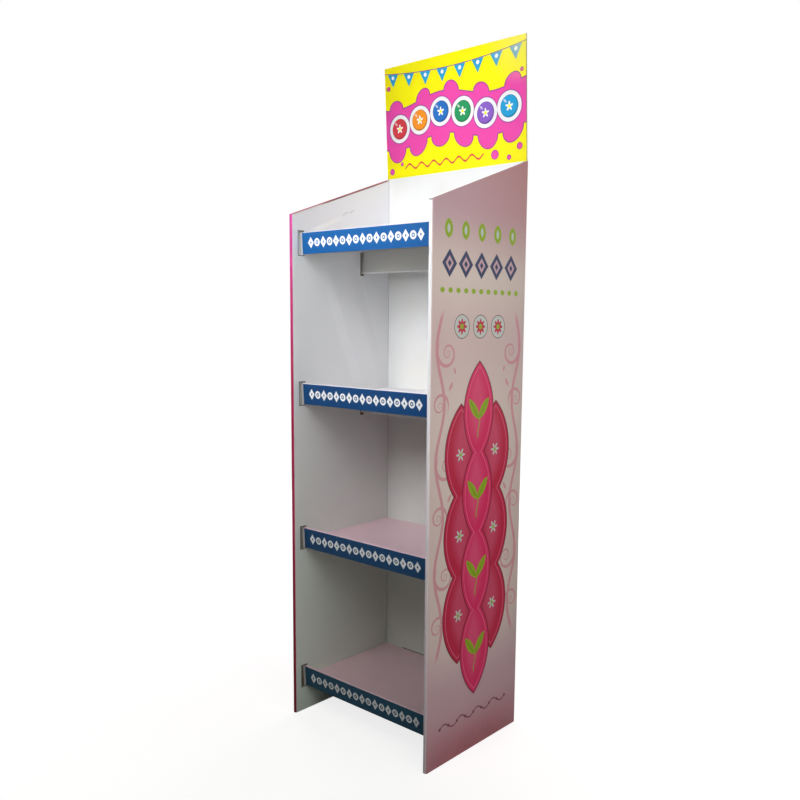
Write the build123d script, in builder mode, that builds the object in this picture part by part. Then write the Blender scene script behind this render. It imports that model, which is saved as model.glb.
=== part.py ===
from build123d import *
import math
import os

# A free-standing floor display of folded corrugated board: two hollow side walls, a back panel
# whose flanges slide into them, four shelf trays, a beam under each tray and a header card.
# Lengths are in millimetres and angles in degrees. X runs to the right seen from the front, Y runs
# to the back and Z runs up. The origin is on the floor, at the middle of the footprint.

# Boards and fits
wall_board = 3.5
tray_board = 3.0
header_board = 3.0
slip_fit = 0.2
crease_radius = 0.4

# Clear space between the side walls, and in front of the back panel
inner_width = 420.0
inner_depth = 326.0

# Side walls: the top edge rises from the front to the back, and the inner layer is cut lower
front_height = 1218.0
slope_rise = 120.0
inner_layer_drop = 3.0

# Back panel
flange_depth = 40.0

# Header card: the tongue is glued to the rear of the back panel, the face leans over the front,
# and both ends stay a little inside the outer faces of the side walls
header_inset = 3.9
header_height = 273.0
header_lean = 3.0
header_bend_radius = 20.0
crease_rise = 2.0
tongue_height = 110.0

# Shelf trays: each front rises as a lip, turns over two folds that have a short flat between them
# and hangs down as the raked fascia. The highest one lies a little below the top of the wall fronts
tray_count = 4
lowest_fascia_top = 114.5
top_fascia_drop = 38.5
fascia_setback = 29.5
fascia_height = 51.0
fascia_rake = 3.6
lip_height = 26.0
lip_flat = 0.2

# Ears and tabs of the trays, and the room that their slots leave
ear_drop = 2.5
slide_in = 10.0
slot_headroom = 2.5
rear_tab_inset = 60.0
rear_tab_width = 110.0
slit_headroom = 2.5

# Beams: the ends run in side slots that are as long as the tray slides
beam_to_back = 89.5
beam_height = 58.0
beam_end_trim = 5.0
beam_slot_footroom = 5.0

# Positions that follow from the sizes above
hollow = wall_board + 2 * slip_fit
side_wall = 2 * wall_board + hollow
half_inner = inner_width / 2
half_outer = half_inner + side_wall
header_width = 2 * (half_outer - header_inset)
rear_height = front_height + slope_rise
total_depth = inner_depth + wall_board + header_board
front_y = -total_depth / 2
back_face_y = front_y + inner_depth
back_rear_y = back_face_y + wall_board
fascia_front_y = front_y + fascia_setback
rake = math.radians(fascia_rake)
ear_height = fascia_height + ear_drop
ear_reach = half_inner + wall_board + hollow - slip_fit
tab_middle_x = half_inner - rear_tab_inset - rear_tab_width / 2
beam_front_y = back_face_y - beam_to_back - wall_board
above_all = front_height + rear_height
tray_pitch = (front_height - top_fascia_drop - lowest_fascia_top) / (tray_count - 1)
fascia_tops = [lowest_fascia_top + level * tray_pitch for level in range(tray_count)]


def fold_radius(board):
    """Radius of a fold at the middle of a board."""
    return crease_radius + board / 2


def surface_level(fascia_top):
    """Height of a tray's surface, given the top of its fascia."""
    return fascia_top - lip_height


def beam_bottom(fascia_top):
    """Height of the lower edge of the beam under a tray."""
    return surface_level(fascia_top) - tray_board - beam_height


def set_back(drop):
    """How far the raked fascia has moved to the back at a given drop below its top."""
    return drop * math.tan(rake)


def wall_top(y):
    """Height of the sloping top edge of the side walls."""
    return front_height + (rear_height - front_height) * (y - front_y) / (back_rear_y - front_y)


def cut_above_slope(start_y, end_y, drop, start_x, width):
    """Cut away what stands above the sloping top edge, lowered by a drop."""
    with BuildSketch(Plane.YZ.offset(start_x)) as outline:
        with BuildLine():
            Polyline(
                (start_y, wall_top(start_y) - drop),
                (end_y, wall_top(end_y) - drop),
                (end_y, above_all),
                (start_y, above_all),
                close=True,
            )
        make_face()
    extrude(outline.sketch, amount=width, mode=Mode.SUBTRACT)


def side_slot(front, rear, bottom, top):
    """Cut a slot through the inner layer of the left side wall."""
    with BuildSketch(Plane.YZ.offset(-half_inner - wall_board - slip_fit)) as outline:
        with BuildLine():
            Polyline((front, bottom), (rear, bottom), (rear, top), (front, top), close=True)
        make_face()
    extrude(outline.sketch, amount=wall_board + 2 * slip_fit, mode=Mode.SUBTRACT)


# Side walls: one sheet each, folded back on itself at the front edge
wall_middle = wall_board / 2
outer_middle_x = -half_outer + wall_middle
inner_middle_x = -half_inner - wall_middle

with BuildPart() as left_side_wall:
    with BuildSketch() as wall_plan:
        with BuildLine():
            FilletPolyline(
                (outer_middle_x, back_rear_y),
                (outer_middle_x, front_y + wall_middle),
                (inner_middle_x, front_y + wall_middle),
                (inner_middle_x, back_face_y - slip_fit),
                radius=fold_radius(wall_board),
            )
        trace(line_width=wall_board)
    extrude(amount=rear_height)

    # Sloping top edge of the whole sheet, and the lower cut of its inner layer
    cut_above_slope(front_y, back_rear_y, 0, -half_outer, side_wall)
    cut_above_slope(
        front_y + wall_board, back_rear_y, inner_layer_drop, -half_inner - wall_board, wall_board
    )

    # Slots of the inner layer, for the ears of each tray and for the ends of its beam
    for fascia_top in fascia_tops:
        side_slot(
            front=fascia_front_y - slide_in,
            rear=fascia_front_y + ear_height * math.sin(rake) + tray_board * math.cos(rake) + slip_fit,
            bottom=fascia_top - ear_height * math.cos(rake),
            top=fascia_top + slot_headroom,
        )
        side_slot(
            front=beam_front_y - slide_in,
            rear=beam_front_y + wall_board + slip_fit,
            bottom=beam_bottom(fascia_top) - beam_slot_footroom,
            top=beam_bottom(fascia_top) + beam_height - beam_end_trim + slip_fit,
        )

with BuildPart() as right_side_wall:
    add(mirror(left_side_wall.part, about=Plane.YZ))

# Back panel: one sheet, its side flanges folded forward into the hollows of the side walls
flange_middle_x = half_inner + wall_board + slip_fit + wall_middle

with BuildPart() as back_panel:
    with BuildSketch() as back_plan:
        with BuildLine():
            FilletPolyline(
                (-flange_middle_x, back_face_y - flange_depth),
                (-flange_middle_x, back_face_y + wall_middle),
                (flange_middle_x, back_face_y + wall_middle),
                (flange_middle_x, back_face_y - flange_depth),
                radius=fold_radius(wall_board),
            )
        trace(line_width=wall_board)
    extrude(amount=rear_height)

    # The flanges follow the slope of the inner layers beside them
    cut_above_slope(front_y, back_face_y, inner_layer_drop, -half_outer, 2 * half_outer)

    # Slits for the rear tabs of the trays
    for fascia_top in fascia_tops:
        with BuildSketch(Plane.XY.offset(surface_level(fascia_top) - tray_board)) as tab_slits:
            with Locations((-tab_middle_x, back_face_y), (tab_middle_x, back_face_y)):
                Rectangle(rear_tab_width + 2 * slip_fit, wall_board, align=(Align.CENTER, Align.MIN))
        extrude(amount=tray_board + slit_headroom, mode=Mode.SUBTRACT)

# Header card: a flat tongue, a soft bend just over the back panel, and the leaning face
lean = math.radians(header_lean)
header_bend_z = rear_height + crease_rise
header_middle_y = back_rear_y + header_board / 2

with BuildPart() as header_card:
    with BuildSketch(Plane.YZ) as header_section:
        with BuildLine():
            FilletPolyline(
                (header_middle_y, rear_height - tongue_height),
                (header_middle_y, header_bend_z),
                (
                    header_middle_y - (header_height - crease_rise) * math.sin(lean),
                    header_bend_z + (header_height - crease_rise) * math.cos(lean),
                ),
                radius=header_bend_radius,
            )
        trace(line_width=header_board)
    extrude(amount=header_width / 2, both=True)

# Shelf trays and their beams, from the lowest to the highest
trays = []
beams = []
tray_middle = tray_board / 2
half_tray = half_inner - slip_fit
tray_rear_y = back_face_y - slip_fit

for level, fascia_top in enumerate(fascia_tops, start=1):
    surface_middle_z = surface_level(fascia_top) - tray_middle
    fascia_plane = Plane(
        origin=(0, fascia_front_y, fascia_top),
        x_dir=(1, 0, 0),
        z_dir=(0, -math.cos(rake), -math.sin(rake)),
    )

    # Folded section, from the lower edge of the fascia over the lip to the rear edge
    lip_drop = fascia_top - surface_middle_z
    lip_front_y = fascia_front_y + tray_middle / math.cos(rake)
    lip_rear_y = lip_front_y + (2 * fold_radius(tray_board) + lip_flat) / math.cos(rake)

    with BuildPart() as shelf_tray:
        with BuildSketch(Plane.YZ) as tray_section:
            with BuildLine():
                FilletPolyline(
                    (
                        fascia_front_y + fascia_height * math.sin(rake) + tray_middle * math.cos(rake),
                        fascia_top - fascia_height * math.cos(rake) + tray_middle * math.sin(rake),
                    ),
                    (lip_front_y + set_back(tray_middle), fascia_top - tray_middle),
                    (lip_rear_y + set_back(tray_middle), fascia_top - tray_middle),
                    (lip_rear_y + set_back(lip_drop), surface_middle_z),
                    (tray_rear_y, surface_middle_z),
                    radius=fold_radius(tray_board),
                )
            trace(line_width=tray_board)
        extrude(amount=half_tray, both=True)

        # Ears carry on the plane of the fascia into the side slots
        with BuildSketch(fascia_plane) as ears:
            Rectangle(2 * ear_reach, ear_height, align=(Align.CENTER, Align.MAX))
            Rectangle(2 * half_tray, ear_height, align=(Align.CENTER, Align.MAX), mode=Mode.SUBTRACT)
        extrude(amount=-tray_board)

        # Tabs carry on the surface through the slits of the back panel
        with BuildSketch(Plane.XY.offset(surface_level(fascia_top) - tray_board)) as rear_tabs:
            with Locations((-tab_middle_x, tray_rear_y), (tab_middle_x, tray_rear_y)):
                Rectangle(rear_tab_width, wall_board, align=(Align.CENTER, Align.MIN))
        extrude(amount=tray_board)
    shelf_tray.part.label = f"shelf_tray_{level}"
    trays.append(shelf_tray.part)

    # Upright strip glued under the tray, with lower ends that run in the side slots
    with BuildPart() as shelf_beam:
        with BuildSketch(Plane.XZ.offset(-beam_front_y)) as beam_face:
            with Locations((0, beam_bottom(fascia_top))):
                Rectangle(2 * half_tray, beam_height, align=(Align.CENTER, Align.MIN))
                Rectangle(2 * ear_reach, beam_height - beam_end_trim, align=(Align.CENTER, Align.MIN))
        extrude(amount=-wall_board)
    shelf_beam.part.label = f"shelf_beam_{level}"
    beams.append(shelf_beam.part)

# One file for each piece
left_side_wall.part.label = "left_side_wall"
right_side_wall.part.label = "right_side_wall"
back_panel.part.label = "back_panel"
header_card.part.label = "header_card"

os.makedirs("parts", exist_ok=True)
export_step(left_side_wall.part, "parts/left_side_wall.step")
export_step(right_side_wall.part, "parts/right_side_wall.step")
export_step(back_panel.part, "parts/back_panel.step")
export_step(header_card.part, "parts/header_card.step")
for piece in trays + beams:
    export_step(piece, f"parts/{piece.label}.step")
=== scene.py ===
"""Looks of a cardboard floor display stand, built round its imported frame.

The stand is made of folded corrugated sheets. Each sheet is rebuilt here with two liners, a core that
stops short of the cut edges and the fluted strip that shows there, in the place of the plain solid of
the same name. Print, liners and cut edges have their own finishes.

Lengths are in metres. X runs to the right seen from the front, Y to the back and Z up, and the origin is
on the floor at the middle of the footprint.
"""

import logging
import math
from dataclasses import dataclass, field
from enum import Enum
from functools import cached_property, reduce
from typing import Callable, Iterable, Optional, Sequence, Union

import bmesh
import bpy
from mathutils import Matrix, Vector

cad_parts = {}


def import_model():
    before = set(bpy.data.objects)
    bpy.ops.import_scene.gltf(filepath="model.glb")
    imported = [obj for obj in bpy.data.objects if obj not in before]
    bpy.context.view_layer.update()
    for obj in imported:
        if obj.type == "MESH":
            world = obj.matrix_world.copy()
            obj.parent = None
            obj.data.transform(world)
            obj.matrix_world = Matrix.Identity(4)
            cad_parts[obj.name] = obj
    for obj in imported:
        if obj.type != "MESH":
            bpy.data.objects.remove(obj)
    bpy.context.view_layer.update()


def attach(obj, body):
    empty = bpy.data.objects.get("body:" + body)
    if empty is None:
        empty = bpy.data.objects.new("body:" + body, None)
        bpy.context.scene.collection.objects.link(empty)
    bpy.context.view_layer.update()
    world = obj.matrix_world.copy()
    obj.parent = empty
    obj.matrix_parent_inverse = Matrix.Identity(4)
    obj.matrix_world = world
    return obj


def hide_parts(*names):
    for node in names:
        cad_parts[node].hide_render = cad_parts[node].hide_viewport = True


LOG = logging.getLogger("display_stand")
MM = 0.001
TURN = 2 * math.pi
BODY = "root"

Number = Union[float, "Signal"]
Colour = tuple[float, float, float]
Paint = Union[Colour, "Signal"]
Stops = Sequence[tuple[float, Colour]]
Limit = Union[float, Callable[[float, float], float]]


def ink(red: int, green: int, blue: int) -> Colour:
    """Turn a printed colour, as a screen shows it from 0 to 255, into the linear values of a shader."""
    shares = (red / 255, green / 255, blue / 255)
    return tuple(s / 12.92 if s <= 0.04045 else ((s + 0.055) / 1.055) ** 2.4 for s in shares)


def place_object(name: str, data: bpy.types.ID) -> bpy.types.Object:
    """Put a new object with some data into the scene.

    Args:
        name: Name of the object.
        data: Its mesh, camera or lamp.

    Returns:
        The object, at the origin.
    """
    made = bpy.data.objects.new(name, data)
    bpy.context.scene.collection.objects.link(made)
    return made


def math_method(operation: str, reflected: bool = False) -> Callable[..., "Signal"]:
    """Make a method of a signal that adds one Math node.

    Args:
        operation: Operation of the node.
        reflected: True where the signal comes after the other value.

    Returns:
        The method.
    """
    def method(self: "Signal", *others: Number) -> "Signal":
        """Add the node on the signal and the other values."""
        return self.add_math(operation, *((*others, self) if reflected else (self, *others)))

    return method


class Signal:
    """One value in a node tree. Its operators and the methods under them add Math nodes."""

    __add__, __radd__ = math_method("ADD"), math_method("ADD", reflected=True)
    __sub__, __rsub__ = math_method("SUBTRACT"), math_method("SUBTRACT", reflected=True)
    __mul__, __rmul__ = math_method("MULTIPLY"), math_method("MULTIPLY", reflected=True)
    __truediv__, __rtruediv__ = math_method("DIVIDE"), math_method("DIVIDE", reflected=True)
    __pow__, __abs__ = math_method("POWER"), math_method("ABSOLUTE")
    least, most = math_method("MINIMUM"), math_method("MAXIMUM")
    sine, cosine = math_method("SINE"), math_method("COSINE")

    def __init__(self, tree: "NodeTree", socket: bpy.types.NodeSocket) -> None:
        """Wrap an output socket of a node in a tree."""
        self.tree, self.socket = tree, socket

    def add_math(self, operation: str, *values: Number, clamp: bool = False) -> "Signal":
        """Add one Math node on the given values."""
        return self.tree.node("ShaderNodeMath", dict(enumerate(values)), operation=operation, use_clamp=clamp)

    def wrapped(self, period: float) -> "Signal":
        """Repeat the value, from minus half of a period to half of it."""
        return self.add_math("WRAP", self, period / 2, -period / 2)

    def natural_log(self) -> "Signal":
        """Take the natural logarithm."""
        return self.add_math("LOGARITHM", self, math.e)

    def bearing_to(self, level: "Signal") -> "Signal":
        """Take the angle of the point whose upright part is this value and whose level part is the other."""
        return self.add_math("ARCTAN2", self, level)

    def clamped(self) -> "Signal":
        """Keep the value between 0 and 1."""
        return self.add_math("ADD", self, 0.0, clamp=True)

    def inside(self, softness: float = 0.35 * MM) -> "Signal":
        """Turn a signed distance into a mask: 1 inside a shape and 0 outside it, with a soft rim."""
        return self.add_math("MULTIPLY_ADD", self, -1.0 / softness, 0.5, clamp=True)


class NodeTree:
    """A node tree that is built one node after the other."""

    def __init__(self, tree: bpy.types.NodeTree) -> None:
        """Start from an empty tree."""
        self.tree = tree
        self.tree.nodes.clear()

    @staticmethod
    def find(sockets: Sequence[bpy.types.NodeSocket], key: object) -> bpy.types.NodeSocket:
        """Find a socket by its number, or by its identifier or name.

        Args:
            sockets: Inputs or outputs of a node.
            key: The number, identifier or name.

        Returns:
            The first socket that fits.
        """
        if isinstance(key, int):
            return sockets[key]
        return next(socket for socket in sockets if key in (socket.identifier, socket.name))

    @staticmethod
    def _set_stops(ramp: bpy.types.ColorRamp, stops: Stops) -> None:
        """Give a colour ramp its stops.

        Args:
            ramp: Ramp of a node.
            stops: Places and colours, the lowest first.
        """
        ramp.interpolation = "EASE"
        while len(ramp.elements) < len(stops):
            ramp.elements.new(1.0)
        for element, (place, colour) in zip(ramp.elements, stops):
            element.position, element.color = place, (*colour, 1.0)

    def add(self, kind: str, inputs: Optional[dict[object, object]] = None,
            **settings: object) -> bpy.types.Node:
        """Add a node, set it first and then give its sockets their values or links.

        Args:
            kind: Type of the node.
            inputs: Values or signals, by the number, the name or the identifier of the input.
            settings: Properties of the node. The setting "stops" gives a ramp's places and colours.

        Returns:
            The node.
        """
        node = self.tree.nodes.new(kind)
        for key, value in settings.items():
            if key == "stops":
                self._set_stops(node.color_ramp, value)
            else:
                setattr(node, key, value)
        for key, value in (inputs or {}).items():
            socket = self.find(node.inputs, key)
            if isinstance(value, Signal):
                self.tree.links.new(value.socket, socket)
            elif socket.type == "RGBA":
                socket.default_value = (*value, 1.0)
            else:
                socket.default_value = value
        return node

    def node(self, kind: str, inputs: Optional[dict[object, object]] = None, output: Union[int, str] = 0,
             **settings: object) -> Signal:
        """Add a node as above, and return one of its outputs by its number or name."""
        return Signal(self, self.find(self.add(kind, inputs, **settings).outputs, output))


@dataclass(frozen=True)
class Opening:
    """A rectangle that is cut away, by its ends along a sheet's path or depth and across its width."""

    start: float
    end: float
    low: float
    high: float

    def grown(self, margin: float) -> "Opening":
        """Return the same opening, larger by a margin all round."""
        return Opening(self.start - margin, self.end + margin, self.low - margin, self.high + margin)

    def holds(self, along: float, across: float) -> bool:
        """Tell whether a point of the flat sheet lies in the opening."""
        return self.start < along < self.end and self.low < across < self.high


@dataclass
class StandSizes:
    """Driving sizes of the stand, as its solids have them, and the places that follow from them."""

    wall_board: float = 3.5 * MM
    tray_board: float = 3.0 * MM
    header_board: float = 3.0 * MM
    slip_fit: float = 0.2 * MM
    crease_radius: float = 0.4 * MM
    inner_width: float = 420 * MM
    inner_depth: float = 326 * MM
    front_height: float = 1218 * MM
    slope_rise: float = 120 * MM
    inner_layer_drop: float = 3 * MM
    flange_depth: float = 40 * MM
    header_inset: float = 3.9 * MM
    header_height: float = 273 * MM
    header_lean: float = math.radians(3.0)
    header_bend_radius: float = 20 * MM
    crease_rise: float = 2 * MM
    tongue_height: float = 110 * MM
    tray_count: int = 4
    lowest_fascia_top: float = 114.5 * MM
    top_fascia_drop: float = 38.5 * MM
    fascia_setback: float = 29.5 * MM
    fascia_height: float = 51 * MM
    fascia_rake: float = math.radians(3.6)
    lip_height: float = 26 * MM
    lip_flat: float = 0.2 * MM
    ear_drop: float = 2.5 * MM
    slide_in: float = 10 * MM
    slot_headroom: float = 2.5 * MM
    rear_tab_inset: float = 60 * MM
    rear_tab_width: float = 110 * MM
    beam_to_back: float = 89.5 * MM
    beam_height: float = 58 * MM
    beam_end_trim: float = 5 * MM
    beam_slot_footroom: float = 5 * MM

    def __post_init__(self) -> None:
        """Work out what follows: places to the side, to the back and upwards, the trays and their slots."""
        self.hollow = self.wall_board + 2 * self.slip_fit
        self.half_inner = self.inner_width / 2
        self.half_outer = self.half_inner + 2 * self.wall_board + self.hollow
        self.half_header = self.half_outer - self.header_inset
        self.half_tray = self.half_inner - self.slip_fit
        self.ear_reach = self.half_inner + self.wall_board + self.hollow - self.slip_fit
        self.tab_middle_x = self.half_inner - self.rear_tab_inset - self.rear_tab_width / 2
        self.front_y = -(self.inner_depth + self.wall_board + self.header_board) / 2
        self.back_face_y = self.front_y + self.inner_depth
        self.back_rear_y = self.back_face_y + self.wall_board
        self.tray_rear_y = self.back_face_y - self.slip_fit
        self.fascia_front_y = self.front_y + self.fascia_setback
        self.beam_front_y = self.back_face_y - self.beam_to_back - self.wall_board
        self.rear_height = self.front_height + self.slope_rise
        self.slope = self.slope_rise / (self.back_rear_y - self.front_y)
        self.ear_height = self.fascia_height + self.ear_drop
        top_fascia = self.front_height - self.top_fascia_drop
        self.tray_pitch = (top_fascia - self.lowest_fascia_top) / (self.tray_count - 1)
        self.fascia_tops = [
            self.lowest_fascia_top + level * self.tray_pitch for level in range(self.tray_count)
        ]
        ear_front, beam_front = self.fascia_front_y - self.slide_in, self.beam_front_y - self.slide_in
        ear_rear = self.on_rake(0.0, self.ear_height, self.tray_board)[0] + self.slip_fit
        ear_foot = self.on_rake(0.0, self.ear_height, 0.0)[1]
        beam_rear = self.beam_front_y + self.wall_board + self.slip_fit
        beam_end = self.beam_height - self.beam_end_trim + self.slip_fit
        self.ear_slots = [
            Opening(ear_front, ear_rear, top + ear_foot, top + self.slot_headroom) for top in self.fascia_tops
        ]
        self.beam_slots = [
            Opening(beam_front, beam_rear, foot - self.beam_slot_footroom, foot + beam_end)
            for foot in map(self.beam_bottom, self.fascia_tops)
        ]

    def on_rake(self, fascia_top: float, down: float, inward: float) -> tuple[float, float]:
        """Return the depth and height of a point on or behind the raked face of a fascia.

        Args:
            fascia_top: Height of the top of the fascia.
            down: Distance down the face.
            inward: Distance behind the face, square to it.

        Returns:
            The depth and the height.
        """
        sine, cosine = math.sin(self.fascia_rake), math.cos(self.fascia_rake)
        y = self.fascia_front_y + down * sine + inward * cosine
        return y, fascia_top - down * cosine + inward * sine

    def fold_radius(self, board: float) -> float:
        """Radius of a fold at the middle of a board of that thickness."""
        return self.crease_radius + board / 2

    def wall_top(self, y: float) -> float:
        """Height of the sloping top edge of the side walls at a depth y."""
        return self.front_height + self.slope * (y - self.front_y)

    def surface_level(self, fascia_top: float) -> float:
        """Height of a tray's surface, given the top of its fascia."""
        return fascia_top - self.lip_height

    def beam_bottom(self, fascia_top: float) -> float:
        """Height of the lower edge of the beam under a tray."""
        return self.surface_level(fascia_top) - self.tray_board - self.beam_height


class Section(Enum):
    """Plane of a sheet's folded section. The sheet's width runs square to it."""

    PLAN = "section in XY, width along Z"
    PROFILE = "section in YZ, width along X"

    def place(self, first: float, second: float, across: float) -> Vector:
        """Put a point of the section, at a place across the width, into the stand's frame."""
        return Vector((first, second, across) if self is Section.PLAN else (across, first, second))


@dataclass(frozen=True)
class Stretch:
    """A stretch of a folded section's middle line: straight, or one round fold.

    Args:
        start: Where it starts.
        way: Its direction there.
        length: Its length.
        radius: Radius of the fold, less than 0 where it turns right, or 0 for a straight stretch.
        steps: Facets of the fold.
    """

    start: Vector
    way: Vector
    length: float
    radius: float = 0.0
    steps: int = 1

    def at(self, distance: float) -> tuple[Vector, Vector]:
        """Follow the stretch.

        Args:
            distance: Distance from its start.

        Returns:
            The point and the direction of the line there.
        """
        if self.radius == 0:
            return self.start + self.way * distance, self.way
        way = Matrix.Rotation(distance / self.radius, 2) @ self.way
        return self.start + (self.way.orthogonal() - way.orthogonal()) * self.radius, way


class FoldedPath:
    """Middle line of a folded sheet: straight stretches joined by round folds."""

    def __init__(self, corners: Iterable[tuple[float, float]], radius: float = 0.0, steps: int = 8) -> None:
        """Round the corners of a line.

        Args:
            corners: Corners of the line before they are rounded.
            radius: Radius of each fold at the middle line.
            steps: Facets of each fold.
        """
        here, *points = map(Vector, corners)
        self.stretches: list[Stretch] = []
        for corner, after in zip(points, points[1:]):
            way, onward = (corner - here).normalized(), (after - corner).normalized()
            turn = -way.angle_signed(onward)
            cut = radius * math.tan(abs(turn) / 2)
            self.stretches.append(Stretch(here, way, (corner - here).length - cut))
            fold = Stretch(corner - way * cut, way, abs(turn) * radius, math.copysign(radius, turn), steps)
            self.stretches.append(fold)
            here = corner + onward * cut
        last = points[-1] - here
        self.stretches.append(Stretch(here, last.normalized(), last.length))
        self.breaks = [0.0]
        for part in self.stretches:
            start = self.breaks[-1]
            self.breaks += [start + part.length * step / part.steps for step in range(1, part.steps + 1)]
        self.length = self.breaks[-1]

    def at(self, distance: float) -> tuple[Vector, Vector]:
        """Follow the line.

        Args:
            distance: Distance from its start.

        Returns:
            The point and the direction of the line there.
        """
        for part in self.stretches[:-1]:
            if distance <= part.length:
                return part.at(distance)
            distance -= part.length
        return self.stretches[-1].at(distance)


@dataclass(frozen=True)
class CorrugatedBoard:
    """Make-up of single-wall corrugated board."""

    thickness: float
    liner: float = 0.38 * MM
    flute_pitch: float = 6.4 * MM
    medium: float = 0.2 * MM
    flute_depth: float = 9 * MM
    closed_edge: float = 1.2 * MM
    steps_per_flute: int = 10

    @property
    def half(self) -> float:
        """Half of the thickness."""
        return self.thickness / 2

    @property
    def wave_height(self) -> float:
        """Half of the height of a flute, so that it touches both liners."""
        return self.half - self.liner - self.medium / 2


class FaceKind(Enum):
    """Material slots of a sheet, in order."""

    FACE = 0
    REVERSE = 1
    CORE = 2


class FluteRun(Enum):
    """Direction of a sheet's flutes."""

    ACROSS_WIDTH = "flutes run along the width"
    ALONG_PATH = "flutes run along the folded path"


@dataclass(frozen=True)
class FluteLine:
    """Middle line of a cut edge that shows flutes, and the way into the board."""

    points: tuple[Vector, ...]
    inward: Vector


class FluteNodes(NodeTree):
    """Geometry Nodes tree that turns the middle line of a cut edge into a waved strip."""

    NAME = "fluted_medium"
    INPUTS = {
        "Geometry": "NodeSocketGeometry", "Flute Pitch": "NodeSocketFloat", "Wave Height": "NodeSocketFloat",
        "Step Length": "NodeSocketFloat", "Depth": "NodeSocketFloat", "Inward": "NodeSocketVector",
        "Material": "NodeSocketMaterial",
    }

    def __init__(self) -> None:
        """Build the tree once."""
        super().__init__(bpy.data.node_groups.new(self.NAME, "GeometryNodeTree"))
        self.tree.is_modifier = True
        sockets = self.tree.interface
        self.keys = {
            name: sockets.new_socket(name, in_out="INPUT", socket_type=kind).identifier
            for name, kind in self.INPUTS.items()
        }
        sockets.new_socket("Geometry", in_out="OUTPUT", socket_type="NodeSocketGeometry")
        self._wire()

    def _wire(self) -> None:
        """Join the nodes: line, wave, strip and material."""
        outputs = self.add("NodeGroupInput").outputs
        given = {name: Signal(self, outputs[name]) for name in self.INPUTS}
        line = self.node("GeometryNodeMeshToCurve", {"Mesh": given["Geometry"]})
        fine = {"Curve": line, "Length": given["Step Length"]}
        fine = self.node("GeometryNodeResampleCurve", fine, mode="LENGTH")
        along = self.node("GeometryNodeSplineParameter", output="Length")
        tangent = self.node("GeometryNodeInputTangent")
        level = self.node("ShaderNodeVectorMath", {0: tangent, 1: given["Inward"]}, operation="CROSS_PRODUCT")
        level = self.node("ShaderNodeVectorMath", {0: level}, operation="NORMALIZE")
        height = (along / given["Flute Pitch"] * TURN).sine() * given["Wave Height"]
        shift = self.node("ShaderNodeVectorMath", {0: level, "Scale": height}, operation="SCALE")
        waved = self.node("GeometryNodeSetPosition", {"Geometry": fine, "Offset": shift})
        edges = self.node("GeometryNodeCurveToMesh", {"Curve": waved})
        strip = {"Mesh": edges, "Offset": given["Inward"], "Offset Scale": given["Depth"]}
        strip = self.node("GeometryNodeExtrudeMesh", strip, mode="EDGES")
        real = self.node("GeometryNodeRealizeInstances", {"Geometry": strip})
        done = self.node("GeometryNodeSetMaterial", {"Geometry": real, "Material": given["Material"]})
        self.add("NodeGroupOutput", {0: done})

    def strip(self, line: FluteLine, board: CorrugatedBoard, material: bpy.types.Material) -> bpy.types.Mesh:
        """Make the waved strip of one cut edge.

        Args:
            line: Middle line of the edge.
            board: Make-up of the board.
            material: Material of the strip.

        Returns:
            The strip as a plain mesh.
        """
        mesh = bpy.data.meshes.new(self.NAME)
        links = [(first, first + 1) for first in range(len(line.points) - 1)]
        mesh.from_pydata([tuple(point) for point in line.points], links, [])
        source = place_object(self.NAME, mesh)
        waves = source.modifiers.new("waves", "NODES")
        waves.node_group = self.tree
        values = {
            "Flute Pitch": board.flute_pitch, "Wave Height": board.wave_height, "Depth": board.flute_depth,
            "Step Length": board.flute_pitch / board.steps_per_flute, "Inward": tuple(line.inward),
            "Material": material,
        }
        for name, value in values.items():
            waves[self.keys[name]] = value
        paper = source.modifiers.new("paper", "SOLIDIFY")
        paper.thickness, paper.offset = board.medium, 0.0
        made = bpy.data.meshes.new_from_object(source.evaluated_get(bpy.context.evaluated_depsgraph_get()))
        bpy.data.objects.remove(source)
        bpy.data.meshes.remove(mesh)
        return made


@dataclass(frozen=True)
class Trims:
    """How far a layer stops short of the ends of the path, of the sides and of the openings."""

    ends: float = 0.0
    sides: float = 0.0
    openings: float = 0.0


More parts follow.
